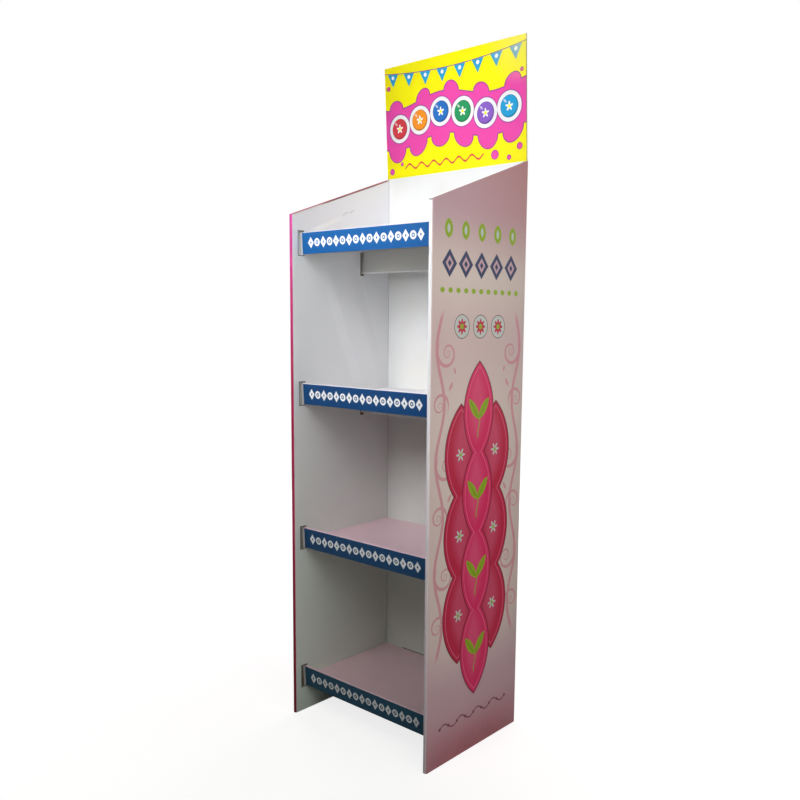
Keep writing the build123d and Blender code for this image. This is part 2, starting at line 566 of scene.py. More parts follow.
@dataclass
class Sheet:
    """A folded sheet of corrugated board.

    Args:
        path: Middle line of its folded section.
        section: Plane of that section.
        board: Make-up of the board.
        low: Lower limit of the width. A limit is a number, or follows from the place along the path
            and the section's second axis.
        high: Upper limit of the width.
        face_side: 1.0 where the good side is to the left of the path, -1.0 where it is to the right.
        run: Direction of its flutes.
        openings: What is cut away.
        marks: Further places along the path that need an edge across it.
        flute_lines: Middle lines of the cut edges that show flutes.
    """

    path: FoldedPath
    section: Section
    board: CorrugatedBoard
    low: Limit
    high: Limit
    face_side: float = 1.0
    run: FluteRun = FluteRun.ACROSS_WIDTH
    openings: list[Opening] = field(default_factory=list)
    marks: list[float] = field(default_factory=list)
    flute_lines: list[FluteLine] = field(default_factory=list)

    SAME_PLACE = 0.02 * MM

    def spot(self, along: float, offset: float = 0.0) -> Vector:
        """Return a point of the section, at an offset from the middle line towards the good side."""
        point, way = self.path.at(along)
        return point + way.orthogonal() * (offset * self.face_side)

    def point(self, along: float, across: float, offset: float = 0.0) -> Vector:
        """Return a point of the sheet in the stand's frame."""
        return self.section.place(*self.spot(along, offset), across)

    def limit(self, limit: Limit, along: float, offset: float = 0.0) -> float:
        """Work out a limit of the width at a place along the path."""
        return limit(along, self.spot(along, offset)[1]) if callable(limit) else limit

    def _thin(self, places: Iterable[float], start: float, end: float) -> list[float]:
        """Sort places, keep those between two limits and drop near doubles.

        Args:
            places: The places.
            start: Lower limit, which is kept.
            end: Upper limit, which is kept.

        Returns:
            The places that are left, with both limits.
        """
        kept = [start]
        for place in sorted(places):
            if kept[-1] + self.SAME_PLACE < place < end - self.SAME_PLACE:
                kept.append(place)
        return [*kept, end]

    def add_layer(self, target: bmesh.types.BMesh, offsets: tuple[float, float], trims: Trims,
                  kinds: tuple[FaceKind, FaceKind, FaceKind]) -> None:
        """Add one closed layer of the sheet to a mesh.

        Args:
            target: Mesh that takes the layer.
            offsets: Offsets of the layer's reverse side and of its good side.
            trims: How far the layer stops short of the sheet's edges.
            kinds: Material slots of the good side, the reverse side and the rim.
        """
        openings = [opening.grown(trims.openings) for opening in self.openings]
        marks = [*self.path.breaks, *self.marks, *(end for cut in openings for end in (cut.start, cut.end))]
        columns = self._thin(marks, trims.ends, self.path.length - trims.ends)
        lowest = max(self.limit(self.low, place) for place in columns) + trims.sides
        highest = min(self.limit(self.high, place) for place in columns) - trims.sides
        levels = self._thin((end for cut in openings for end in (cut.low, cut.high)), lowest, highest)[1:-1]

        def across(along: float, offset: float) -> list[float]:
            """Return the places across the width at a place along the path."""
            low, high = self.limit(self.low, along, offset), self.limit(self.high, along, offset)
            return [low + trims.sides, *levels, high - trims.sides]

        grid = [across(along, 0.0) for along in columns]
        kept = set()
        for i, (start, end) in enumerate(zip(columns, columns[1:])):
            for j in range(len(levels) + 1):
                middle = sum(grid[i][j:j + 2] + grid[i + 1][j:j + 2]) / 4
                if not any(opening.holds((start + end) / 2, middle) for opening in openings):
                    kept.add((i, j))
        corners = {
            (i, j, side): target.verts.new(self.point(along, place, offset))
            for side, offset in enumerate(offsets) for i, along in enumerate(columns)
            for j, place in enumerate(across(along, offset))
        }
        made: list[bmesh.types.BMFace] = []

        def add_face(kind: FaceKind, *keys: tuple[int, int, int]) -> None:
            """Add one face between corners of the grid."""
            made.append(target.faces.new([corners[key] for key in keys]))
            made[-1].material_index = kind.value

        for i, j in sorted(kept):
            ring = ((i, j), (i + 1, j), (i + 1, j + 1), (i, j + 1))
            add_face(kinds[0], *((*corner, 1) for corner in ring))
            add_face(kinds[1], *((*corner, 0) for corner in reversed(ring)))
            beyond = ((i, j - 1), (i + 1, j), (i, j + 1), (i - 1, j))
            for first, second, neighbour in zip(ring, (*ring[1:], ring[0]), beyond):
                if neighbour not in kept:
                    add_face(kinds[2], (*first, 0), (*first, 1), (*second, 1), (*second, 0))
        for vertex in corners.values():
            if not vertex.link_faces:
                target.verts.remove(vertex)
        bmesh.ops.recalc_face_normals(target, faces=made)

    def show_edge_along(self, level: Limit, inward: float, start: float = 0.0, end: float = math.inf) -> None:
        """Show flutes on a cut edge that follows the path.

        Args:
            level: Place of the edge across the width.
            inward: 1.0 where the board lies above the edge, -1.0 where it lies below.
            start: Where the edge starts along the path.
            end: Where it ends.
        """
        start, end = start + self.board.closed_edge, min(end, self.path.length) - self.board.closed_edge
        places = self._thin([*self.path.breaks, *self.marks], start, end)
        points = tuple(self.point(place, self.limit(level, place)) for place in places)
        self.flute_lines.append(FluteLine(points, self.section.place(0, 0, inward)))

    def show_edge_across(self, along: float, inward: float) -> None:
        """Show flutes on a cut edge that crosses the path.

        Args:
            along: Place of the edge along the path.
            inward: 1.0 where the board lies further along the path, -1.0 where it lies before.
        """
        low, high = self.low + self.board.closed_edge, self.high - self.board.closed_edge
        way = self.section.place(*(self.path.at(along)[1] * inward), 0)
        self.flute_lines.append(FluteLine((self.point(along, low), self.point(along, high)), way))

    def add_to(self, whole: bmesh.types.BMesh, flutes: FluteNodes, core: bpy.types.Material) -> None:
        """Add the liners, the core and the fluted strips of the sheet to a mesh.

        Args:
            whole: Mesh that takes them.
            flutes: Maker of the waved strips.
            core: Material of the strips.
        """
        board, rim = self.board, FaceKind.CORE
        inner = board.half - board.liner
        self.add_layer(whole, (inner, board.half), Trims(), (FaceKind.FACE, rim, rim))
        self.add_layer(whole, (-board.half, -inner), Trims(), (rim, FaceKind.REVERSE, rim))
        trims = [board.closed_edge, board.flute_depth if self.flute_lines else board.closed_edge]
        if self.run is FluteRun.ALONG_PATH:
            trims.reverse()
        self.add_layer(whole, (-inner, inner), Trims(*trims, board.closed_edge), (rim, rim, rim))
        for line in self.flute_lines:
            strip = flutes.strip(line, board, core)
            before = len(whole.faces)
            whole.from_mesh(strip)
            whole.faces.ensure_lookup_table()
            for face in whole.faces[before:]:
                face.material_index = rim.value
            bpy.data.meshes.remove(strip)


class Recipe(NodeTree):
    """Node tree of a material or of the world, and the colour that its layers have made so far."""

    def __init__(self, owner: Union[bpy.types.Material, bpy.types.World]) -> None:
        """Empty the owner's tree.

        Args:
            owner: Material or world.
        """
        owner.use_nodes = True
        super().__init__(owner.node_tree)
        self.owner = owner
        self.colour: Paint = (1.0, 1.0, 1.0)

    @cached_property
    def place(self) -> Signal:
        """Place of the surface on its object."""
        return self.node("ShaderNodeTexCoord", output="Object")

    @cached_property
    def x(self) -> Signal:
        """Place to the right."""
        return self.node("ShaderNodeSeparateXYZ", {0: self.place}, "X")

    @cached_property
    def y(self) -> Signal:
        """Place to the back."""
        return self.node("ShaderNodeSeparateXYZ", {0: self.place}, "Y")

    @cached_property
    def z(self) -> Signal:
        """Height."""
        return self.node("ShaderNodeSeparateXYZ", {0: self.place}, "Z")

    def noise(self, scale: float, detail: float = 3.0, stretch: tuple = (1.0, 1.0, 1.0)) -> Signal:
        """Make a noise from 0 to 1 on the object's own place.

        Args:
            scale: Bumps for each metre.
            detail: Levels of finer noise.
            stretch: Factors that squeeze the pattern along the axes.

        Returns:
            The noise.
        """
        spot = self.node("ShaderNodeMapping", {"Vector": self.place, "Scale": stretch})
        return self.node("ShaderNodeTexNoise", {"Vector": spot, "Scale": scale, "Detail": detail})

    def ramp(self, value: Signal, stops: Stops) -> Signal:
        """Turn a value into a colour by a ramp."""
        return self.node("ShaderNodeValToRGB", {0: value}, stops=stops)

    def mix(self, ground: Paint, colour: Paint, share: Number, blend: str = "MIX") -> Signal:
        """Mix a colour into a ground by a share from 0 to 1."""
        inputs = {"Factor_Float": share, "A_Color": ground, "B_Color": colour}
        return self.node("ShaderNodeMix", inputs, "Result_Color", data_type="RGBA", blend_type=blend)

    def cover(self, colour: Paint, mask: Number) -> None:
        """Lay a colour over what is there, where a mask says so."""
        self.colour = self.mix(self.colour, colour, mask)

    def stamp(self, *layers: tuple[Paint, Signal]) -> None:
        """Print flat shapes over what is there, the first one lowest."""
        for colour, shape in layers:
            self.cover(colour, shape.inside())

    def shade(self, factor: Number) -> None:
        """Darken or lighten what is there by a factor."""
        grey = self.node("ShaderNodeCombineColor", dict.fromkeys(range(3), factor))
        self.colour = self.mix(self.colour, grey, 1.0, "MULTIPLY")

    def finish(self, roughness: Number, height: Signal, coat: Number = 0.0, gloss: float = 0.4) -> None:
        """Join the colour, a roughness and a relief to the shader.

        Args:
            roughness: Roughness.
            height: Relief in metres.
            coat: Weight of the varnish.
            gloss: Level of the paper's own reflection.
        """
        normal = self.node("ShaderNodeBump", {"Strength": 1.0, "Distance": 1.0, "Height": height})
        inputs = {
            "Base Color": self.colour, "Roughness": roughness, "Normal": normal, "Coat Weight": coat,
            "Coat Roughness": 0.22, "Specular IOR Level": gloss,
        }
        self.output(self.node("ShaderNodeBsdfPrincipled", inputs))

    def output(self, surface: Signal) -> None:
        """Join a shader to the output of the material or the world."""
        kind = "World" if isinstance(self.owner, bpy.types.World) else "Material"
        self.add(f"ShaderNodeOutput{kind}", {"Surface": surface})


@dataclass(frozen=True)
class Motif:
    """A place on a printed face, measured from the middle of a motif: u to its right and v up."""

    u: Signal
    v: Signal

    def moved(self, u: float, v: float) -> "Motif":
        """Measure from another middle."""
        return Motif(self.u - u, self.v - v)

    def turned(self, degrees: float) -> "Motif":
        """Turn what follows to the left."""
        cosine, sine = math.cos(math.radians(degrees)), math.sin(math.radians(degrees))
        return Motif(self.u * cosine + self.v * sine, self.v * cosine - self.u * sine)

    def swapped(self) -> "Motif":
        """Lay an upright motif level."""
        return Motif(self.v, self.u)

    def mirrored(self) -> "Motif":
        """Give the left half the same motifs as the right half."""
        return Motif(abs(self.u), self.v)

    def row(self, pitch: float, before: int, after: int) -> "Motif":
        """Repeat what follows to the sides.

        Args:
            pitch: Distance from one motif to the next.
            before: Number of motifs to the left of the middle one.
            after: Number of motifs to its right.

        Returns:
            The place, measured from the nearest motif.
        """
        steps = (self.u - self.u.wrapped(pitch)).most(-before * pitch).least(after * pitch)
        return Motif(self.u - steps, self.v)

    def column(self, pitch: float, below: int, above: int) -> "Motif":
        """Repeat what follows upwards, with the same arguments as a row has."""
        return self.swapped().row(pitch, below, above).swapped()

    def reach(self) -> Signal:
        """Distance from the middle."""
        return (self.u * self.u + self.v * self.v) ** 0.5

    def disc(self, radius: float) -> Signal:
        """Signed distance to a disc."""
        return self.reach() - radius

    def ring(self, radius: float, width: float) -> Signal:
        """Signed distance to a ring."""
        return abs(self.reach() - radius) - width / 2

    def oval(self, half_u: float, half_v: float) -> Signal:
        """Signed distance, near its rim, to an oval."""
        return (Motif(self.u / half_u, self.v / half_v).reach() - 1) * min(half_u, half_v)

    def leaf(self, half_length: float, half_width: float) -> Signal:
        """Signed distance to an upright shape of two arcs, pointed at both ends."""
        radius = (half_length ** 2 + half_width ** 2) / (2 * half_width)
        return Motif(abs(self.u) + (radius - half_width), self.v).reach() - radius

    def lozenge(self, half_u: float, half_v: float) -> Signal:
        """Signed distance to a lozenge."""
        scale = half_u * half_v / math.hypot(half_u, half_v)
        return (abs(self.u) / half_u + abs(self.v) / half_v - 1) * scale

    def box(self, half_u: float, half_v: float) -> Signal:
        """Signed distance, near its sides, to a rectangle."""
        return (abs(self.u) - half_u).most(abs(self.v) - half_v)

    def pennant(self, half_u: float, drop: float) -> Signal:
        """Signed distance to a triangle that hangs down from the middle."""
        slant = (abs(self.u) / half_u + self.v * (-1 / drop) - 1) * (half_u * drop / math.hypot(half_u, drop))
        return slant.most(self.v)

    def wave(self, height: float, length: float, width: float) -> Signal:
        """Signed distance to a level wavy line."""
        return abs(self.v - (self.u * (TURN / length)).sine() * height) - width / 2

    def blossom(self, radius: float, petals: int, depth: float = 0.3) -> Signal:
        """Signed distance to a flower with round petals."""
        swing = (self.v.bearing_to(self.u) * petals).cosine() * (radius * depth)
        return self.reach() - radius * (1 - depth) - swing

    def curl(self, radius: float, tightness: float, width: float) -> Signal:
        """Draw a line that winds in from a radius and gets thinner.

        Args:
            radius: Outer radius of the curl.
            tightness: How much of its radius it loses in a turn, as a natural logarithm over the turn.
            width: Width of the line at the outer radius.

        Returns:
            The signed distance to the line.
        """
        reach = self.reach().most(0.05 * MM)
        turns = (reach / radius).natural_log() / (tightness * TURN) - self.v.bearing_to(self.u) / TURN
        line = abs(turns.wrapped(1.0)) * reach * (TURN * tightness) - reach * (width / (2 * radius))
        return line.most(reach - radius).most(radius * 0.08 - reach)


@dataclass(frozen=True)
class Finish:
    """A finish of old board: its colour or print, the relief of the liner, yellowing, and dust that doubles
    as painted shade near the floor.
    """

    name: str
    sizes: StandSizes

    RIB_HEIGHT = 0.035 * MM
    DENT_HEIGHT = 1.0 * MM
    FIBRE_HEIGHT = 0.018 * MM
    YELLOWED = ink(230, 238, 228)
    YELLOW_TOP = 0.88
    YELLOW_FADE = 0.8
    DUST_AND_SHADE_REACH = 0.16
    DUST_AND_SHADE = 0.3
    STAINS = 0.06
    SCUFFS = 0.12

    @cached_property
    def recipe(self) -> Recipe:
        """Node tree of the material."""
        return Recipe(bpy.data.materials.new(self.name))

    def make(self) -> bpy.types.Material:
        """Lay the layers and return the material."""
        self.dress()
        return self.recipe.owner

    def dress(self) -> None:
        """Lay the layers of the finish."""
        raise NotImplementedError

    def relief(self, across_flutes: Signal) -> Signal:
        """Add up ribs over the flutes, soft dents and fibres.

        Args:
            across_flutes: Place on the axis that crosses the flutes.

        Returns:
            The height in metres.
        """
        ribs = (across_flutes * (TURN / CorrugatedBoard.flute_pitch)).cosine() * self.RIB_HEIGHT
        dents = (self.recipe.noise(7.0, 2.0) - 0.5) * self.DENT_HEIGHT
        return ribs + dents + (self.recipe.noise(1100.0, 2.0) - 0.5) * self.FIBRE_HEIGHT

    def age(self) -> None:
        """Yellow the white liner, more so lower down."""
        self.recipe.cover(self.YELLOWED, ((self.YELLOW_TOP - self.recipe.z) / self.YELLOW_FADE).clamped())

    def soil_and_shade(self) -> None:
        """Lay dust that darkens towards the floor, partly painted contact shade, with scuffs near the floor
        and faint stains higher up.
        """
        low = (1 - self.recipe.z / self.DUST_AND_SHADE_REACH).clamped()
        cloud = self.recipe.noise(14.0, 4.0)
        scuffs = (self.recipe.noise(160.0, 3.0) * 4 - 2.2).clamped() * low * self.SCUFFS
        # Dust near the floor, which also stands in for painted contact shade there.
        dust = low * low * cloud * self.DUST_AND_SHADE
        self.recipe.shade(1 - (dust + (cloud - 0.5).clamped() * self.STAINS + scuffs))


@dataclass(frozen=True)
class CutEdge(Finish):
    """Bare paper of the cut edges and the fluted core. Ink may have soaked into the outer layer."""

    soaked: Optional[Colour] = None
    pale: Colour = ink(214, 205, 190)
    brown: Colour = ink(168, 146, 120)

    def dress(self) -> None:
        """Lay fibres, and the ink that has soaked in."""
        recipe, sizes = self.recipe, self.sizes
        fibre = recipe.noise(420.0, 4.0)
        recipe.colour = self.pale
        recipe.cover(self.brown, (fibre * 2 - 0.6).clamped())
        if self.soaked:
            outer_layer = sizes.half_outer - sizes.wall_board - sizes.slip_fit
            recipe.cover(self.soaked, (outer_layer - abs(recipe.x)).inside(0.4 * MM) * 0.85)
        self.soil_and_shade()
        recipe.finish(0.9, fibre * (0.05 * MM))


@dataclass(frozen=True)
class WhiteLiner(Finish):
    """Unprinted white liner, with a painted soft line of shade where it meets the side walls, and painted
    shadow where one of the back panel's slits stands open.
    """

    colour: Colour = ink(238, 239, 240)
    aged: Colour = ink(226, 224, 214)
    corner_shade: Colour = ink(178, 178, 188)
    slit_shadow: Colour = ink(52, 46, 34)
    # Half height of the painted shadow over the lowest tab.
    slit_gap: float = 2.4 * MM
    corner_shade_width: float = 1.6 * MM
    flutes_along_x: bool = False

    def dress(self) -> None:
        """Lay soft clouds, the yellowing, the painted light and shade of the details, and the dust with its
        painted shade near the floor.
        """
        recipe = self.recipe
        recipe.colour = self.colour
        recipe.cover(self.aged, (recipe.noise(5.0, 4.0) * 1.6 - 0.5).clamped())
        self.age()
        self.detail()
        self.soil_and_shade()
        across = recipe.y if self.flutes_along_x else recipe.x + recipe.y
        recipe.finish(recipe.noise(60.0, 3.0) * 0.16 + 0.52, self.relief(across))

    def detail(self) -> None:
        """Lay the painted shade in the corners by the side walls, and a painted shadow as if one of the back
        panel's slits over a lowest tab stood open.
        """
        recipe, sizes = self.recipe, self.sizes
        # Painted shade: a soft dark line along the corners where the liner meets the side walls.
        recipe.cover(self.corner_shade, (sizes.half_inner - self.corner_shade_width - abs(recipe.x)).inside(0.8 * MM) * 0.65)
        # Painted shadow over the left tab of the lowest tray, where the real opening above the tab is much
        # narrower.
        level = sizes.surface_level(sizes.lowest_fascia_top)
        slit_shadow = Motif(recipe.x, recipe.z).moved(-sizes.tab_middle_x, level)
        recipe.cover(self.slit_shadow, slit_shadow.box(sizes.rear_tab_width / 2, self.slit_gap).inside(0.6 * MM) * 0.9)


@dataclass(frozen=True)
class BeamLiner(WhiteLiner):
    """Liner of the beams: greyer than the rest, with a painted highlight along the lower edge."""

    colour: Colour = ink(216, 215, 212)
    line: Colour = ink(252, 252, 252)

    def detail(self) -> None:
        """Lay a painted highlight along the lower edge of each beam's face."""
        foot = self.sizes.beam_bottom(self.sizes.lowest_fascia_top) + 1.4 * MM
        # Painted highlight: the lower cut edge catching the light, drawn as a pale line.
        line = abs((self.recipe.z - foot).wrapped(self.sizes.tray_pitch)) - 2.2 * MM
        self.recipe.cover(self.line, line.inside(0.8 * MM))


@dataclass(frozen=True)
class WallReverse(Finish):
    """Liner inside a side wall: brown, which also serves as painted shade deep in the hollow, pale near the
    front fold and higher up, printed along the top edge.
    """

    trim: Colour
    pale: Colour = ink(248, 252, 248)
    brown: Colour = ink(128, 112, 92)
    dark: Colour = ink(104, 90, 72)

    def dress(self) -> None:
        """Lay fibres, the pale part that gives way to the brown as painted shade further back and lower down,
        and the print along the top edge.
        """
        recipe = self.recipe
        recipe.colour = self.brown
        recipe.cover(self.dark, (recipe.noise(300.0, 4.0, (1.0, 1.0, 0.2)) * 2 - 0.6).clamped())
        # The pale part fades out further back and lower down, leaving the brown as painted shade inside the
        # hollow.
        recipe.cover(self.pale, (recipe.y + 0.06).inside(30 * MM) * (recipe.z - 0.3).clamped())
        edge = self.sizes.wall_top(recipe.y) - 2.0 * MM
        recipe.cover(self.trim, (edge - recipe.z).inside(0.5 * MM))
        recipe.finish(0.85, self.relief(recipe.y))


class WallSide(Enum):
    """Side of the stand that a wall stands on. The value is the sign of its X."""

    LEFT = -1
    RIGHT = 1


@dataclass(frozen=True)
class WallPrint(Finish):
    """Print on the outer face of a side wall, which runs on round the front fold."""

    white: Colour = ink(238, 239, 240)
    # Whiter colour of the front fold, a painted highlight.
    bright: Colour = ink(250, 250, 252)
    blush: Colour = ink(250, 230, 236)
    scroll: Colour = ink(212, 112, 136)
    # Dark colour of the painted shadows round the ear slots, also used for the dark top end of the right
    # wall's front fold.
    rim: Colour = ink(44, 48, 44)
    scroll_bay: float = 0.24
    slot_shadow_width: float = 1.6 * MM
    slot_shadow_height: float = 1.5 * MM
    blush_top: float = 0.95

    @cached_property
    def face(self) -> Motif:
        """Place on the wall: to the back and upwards."""
        return Motif(self.recipe.y, self.recipe.z)

    @cached_property
    def fold(self) -> Signal:
        """Mask of the front fold."""
        return (self.recipe.y - (self.sizes.front_y + 3 * MM)).inside(1 * MM)

    @cached_property
    def on_inner(self) -> Signal:
        """Mask of the inner face of the wall."""
        return (abs(self.recipe.x) - (self.sizes.half_inner + 0.5 * MM)).inside(0.2 * MM)

    def printed(self) -> Signal:
        """Mask of the part of the sheet that is printed."""
        raise NotImplementedError

    def marks(self) -> None:
        """Lay the marks on the unprinted part; on the left wall they include painted light."""
        raise NotImplementedError

    def design(self) -> None:
        """Compose the design."""
        raise NotImplementedError

    def creased(self) -> Number:
        """Relief of a crease in the board."""
        return 0.0

    def dress(self) -> None:
        """Lay the white board with its marks, the painted highlight on the front fold and the painted shadows
        round the ear slots, then the design where the sheet is printed.
        """
        recipe = self.recipe
        recipe.colour = self.white
        self.age()
        # Painted highlight: the front fold, which faces the lamps, is whiter than the rest of the board.
        recipe.cover(self.bright, self.fold)
        recipe.cover(self.blush, self.fold * (1 - recipe.z / self.blush_top).clamped())
        self.marks()
        self._slot_shadows()
        unprinted, printed = recipe.colour, self.printed()
        self.design()
        recipe.colour = recipe.mix(unprinted, recipe.colour, printed)
        self.soil_and_shade()
        roughness = 0.56 - printed * 0.2 + recipe.noise(60.0, 3.0) * 0.1
        recipe.finish(roughness, self.relief(recipe.y) + self.creased(), coat=0.08, gloss=0.3)

    def _slot_shadows(self) -> None:
        """Lay painted shadows round the ear slots of the inner face."""
        sizes = self.sizes
        slot = sizes.ear_slots[0]
        rims = self.face.moved((slot.start + slot.end) / 2, (slot.low + slot.high) / 2)
        rims = rims.column(sizes.tray_pitch, 0, sizes.tray_count - 1)
        half_depth, half_height = (slot.end - slot.start) / 2, (slot.high - slot.low) / 2
        rims = rims.box(half_depth + self.slot_shadow_width, half_height + self.slot_shadow_height)
        # Painted shadow of the hollow, seen round each ear in its slot.
        self.recipe.cover(self.rim, rims.inside(0.5 * MM) * self.on_inner * 0.9)

    def scrolls(self) -> None:
        """Lay soft curls along both edges of the face."""
        edge = self.face.mirrored().moved(0.134, 0.62)
        bay = edge.column(self.scroll_bay, 1, 1)
        shape = reduce(Signal.least, (
            edge.swapped().wave(0.013, self.scroll_bay, 9 * MM),
            bay.moved(-0.022, 0.05).curl(0.034, 0.17, 9 * MM),
            bay.turned(180).moved(-0.002, 0.06).curl(0.03, 0.19, 8 * MM),
            bay.moved(-0.034, -0.02).turned(35).leaf(11 * MM, 4 * MM),
            bay.moved(-0.046, 0.012).turned(-20).leaf(8 * MM, 3 * MM),
        ))
        self.recipe.cover(self.scroll, shape.inside(1 * MM) * edge.box(0.06, 0.37).inside(20 * MM) * 0.62)


@dataclass(frozen=True)
class RightWallPrint(WallPrint):
    """Print of the right wall: a column of petals between level rows, on rose and beige."""

    rose: Colour = ink(208, 171, 180)
    warm_rose: Colour = ink(214, 149, 148)
    beige: Colour = ink(231, 213, 204)
    pale_rose: Colour = ink(223, 197, 194)
    deep_rose: Colour = ink(202, 128, 138)
    crimson: Colour = ink(196, 28, 68)
    magenta: Colour = ink(224, 38, 98)
    sheen: Colour = ink(236, 120, 158)
    dark: Colour = ink(104, 26, 38)
    stalk: Colour = ink(92, 116, 18)
    leaf: Colour = ink(150, 178, 26)
    navy: Colour = ink(44, 52, 92)
    pale: Colour = ink(204, 210, 204)
    half_depth: float = 0.165
    warm_from: float = 1.079
    warm_rise: float = 0.26
    middle_y: float = -0.002
    petal_pitch: float = 0.18

    def printed(self) -> Signal:
        """Mask of the print, which stops just short of the front fold."""
        return (self.sizes.half_outer - 1.2 * MM - abs(self.recipe.x)).inside(0.5 * MM)

    def marks(self) -> None:
        """Lay the dark upper end of the front fold."""
        end = (self.sizes.front_height - 2.4 * MM - self.recipe.z).inside(1 * MM)
        self.recipe.cover(self.rim, end * self.fold * 0.7)

    def design(self) -> None:
        """Compose the design."""
        recipe, face = self.recipe, self.face
        stops = ((0.0, self.deep_rose), (0.1, self.rose), (0.24, self.beige), (0.56, self.beige),
                 (0.7, self.pale_rose), (0.8, self.beige), (0.92, self.rose), (1.0, self.rose))
        recipe.colour = recipe.ramp(recipe.z / self.sizes.rear_height, stops)
        sides = (abs(face.u) / self.half_depth) ** 3
        recipe.cover(self.rose, sides * (1.25 - face.v / 1.2).clamped() * 0.3)
        rear = face.u / (2 * self.half_depth)
        warm = ((face.v - self.warm_from) / self.warm_rise).clamped()
        recipe.cover(self.warm_rose, warm * (rear + 0.4).clamped())
        # Painted shade: the print darkens towards the rear of the wall.
        recipe.shade(1 - (rear + 0.2).clamped() * 0.16)
        self.scrolls()
        self._petals()
        self._level_rows()

    def _petals(self) -> None:
        """Lay the column of petals, with leaves, stalks and small flowers on it."""
        middle = self.face.moved(self.middle_y, 0.51)
        sides = middle.mirrored().moved(0.062, 0.0).column(self.petal_pitch, 1, 1)
        centre = middle.moved(0.0, 0.09).column(self.petal_pitch, 2, 1)
        for petal, fill in ((sides, self.crimson), (centre, self.magenta)):
            shape = petal.leaf(0.112, 0.054)
            self.recipe.stamp((self.dark, shape), (fill, shape + 2.6 * MM))
            inner = petal.moved(-0.006, 0.01).leaf(0.075, 0.026)
            self.recipe.cover(self.sheen, inner.inside(24 * MM) * 0.3)
            glow = (abs(shape + 10 * MM) - 1.2 * MM).inside(0.8 * MM)
            self.recipe.cover(self.sheen, glow * 0.6)
        leaves = centre.mirrored().moved(0.017, 0.006).turned(-38)
        stalk = centre.swapped().moved(-0.035, 0.0).wave(3 * MM, 0.06, 2.6 * MM)
        self.recipe.stamp(
            (self.leaf, leaves.leaf(30 * MM, 10 * MM)),
            (self.stalk, leaves.box(0.7 * MM, 22.7 * MM)),
            (self.leaf, stalk.most(centre.moved(0.0, -0.035).box(0.01, 0.022))),
            (self.pale, sides.blossom(15 * MM, 6, 0.34)),
            (self.leaf, sides.disc(4 * MM)),
        )

    def _level_rows(self) -> None:
        """Lay the level rows over and under the column of petals."""
        green = self.face.moved(self.middle_y, 1.165).row(0.056, 2, 2)
        navy = self.face.moved(self.middle_y, 1.095).row(0.054, 2, 2)
        dots = self.face.moved(self.middle_y, 1.04).row(0.026, 5, 5)
        rings = self.face.moved(self.middle_y, 0.965).row(0.064, 1, 1)
        self.recipe.stamp(
            (self.leaf, green.leaf(20 * MM, 13 * MM)), (self.pale, green.leaf(10 * MM, 5 * MM)),
            (self.navy, navy.lozenge(24 * MM, 29 * MM)), (self.rose, navy.lozenge(13 * MM, 16 * MM)),
            (self.navy, navy.lozenge(6 * MM, 7.4 * MM)), (self.leaf, dots.oval(7 * MM, 5.6 * MM)),
            (self.pale, rings.disc(25 * MM)), (self.dark, rings.ring(25 * MM, 1.6 * MM)),
            (self.crimson, rings.blossom(17 * MM, 8, 0.2)), (self.leaf, rings.disc(6 * MM)),
        )
        foot = self.face.moved(self.middle_y, 0.085)
        line = foot.wave(7 * MM, 0.06, 3.4 * MM).most(foot.box(0.12, 0.02))
        self.recipe.cover(self.dark, line.least(foot.row(0.03, 4, 4).disc(3.8 * MM)).inside() * 0.8)


